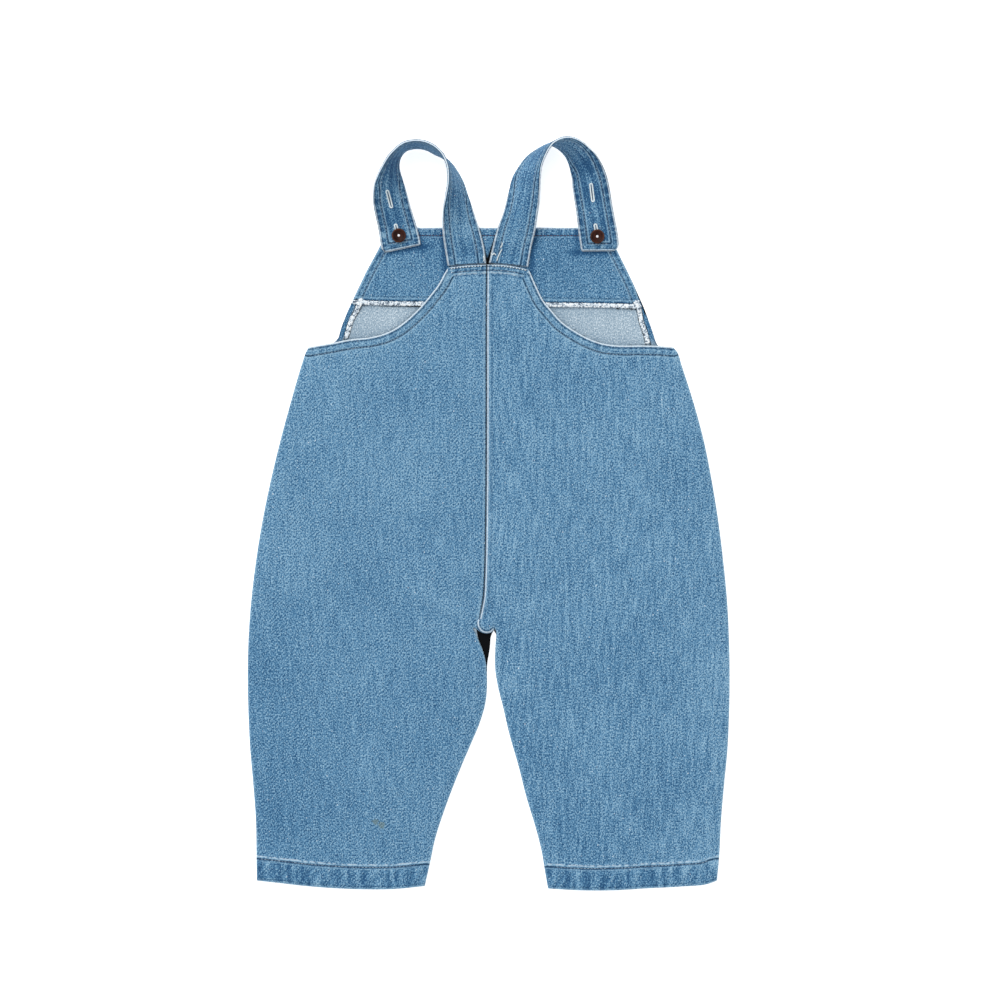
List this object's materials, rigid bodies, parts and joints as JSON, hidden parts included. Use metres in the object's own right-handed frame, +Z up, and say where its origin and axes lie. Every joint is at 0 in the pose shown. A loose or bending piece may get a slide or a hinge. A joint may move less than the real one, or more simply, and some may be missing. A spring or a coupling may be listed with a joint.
{
  "type": "overalls",
  "caption": "Toddler's denim overalls laid out flat with the back uppermost, straps brought over and buttoned to the bib.",
  "frame": {"origin": "middle of the garment's outline, on the surface it lies on", "axes": "+X to the wearer's right, +Y from the hems to the shoulders, +Z up out of the back"},
  "size_m": [0.3854, 0.6, 0.0314],
  "materials": {
    "denim": "washed blue cotton twill, matte",
    "denim_wrong_side": "pale wrong side of the twill uppermost, matte",
    "button_brown": "dark brown, slightly polished"
  },
  "bodies": {
    "root": {"back_left": "denim", "back_right": "denim", "front_left": "denim_wrong_side", "front_right": "denim_wrong_side", "bib_facing": "denim", "strap_left": "denim", "strap_right": "denim", "button_left": "button_brown", "button_right": "button_brown"}
  },
  "joints": []
}
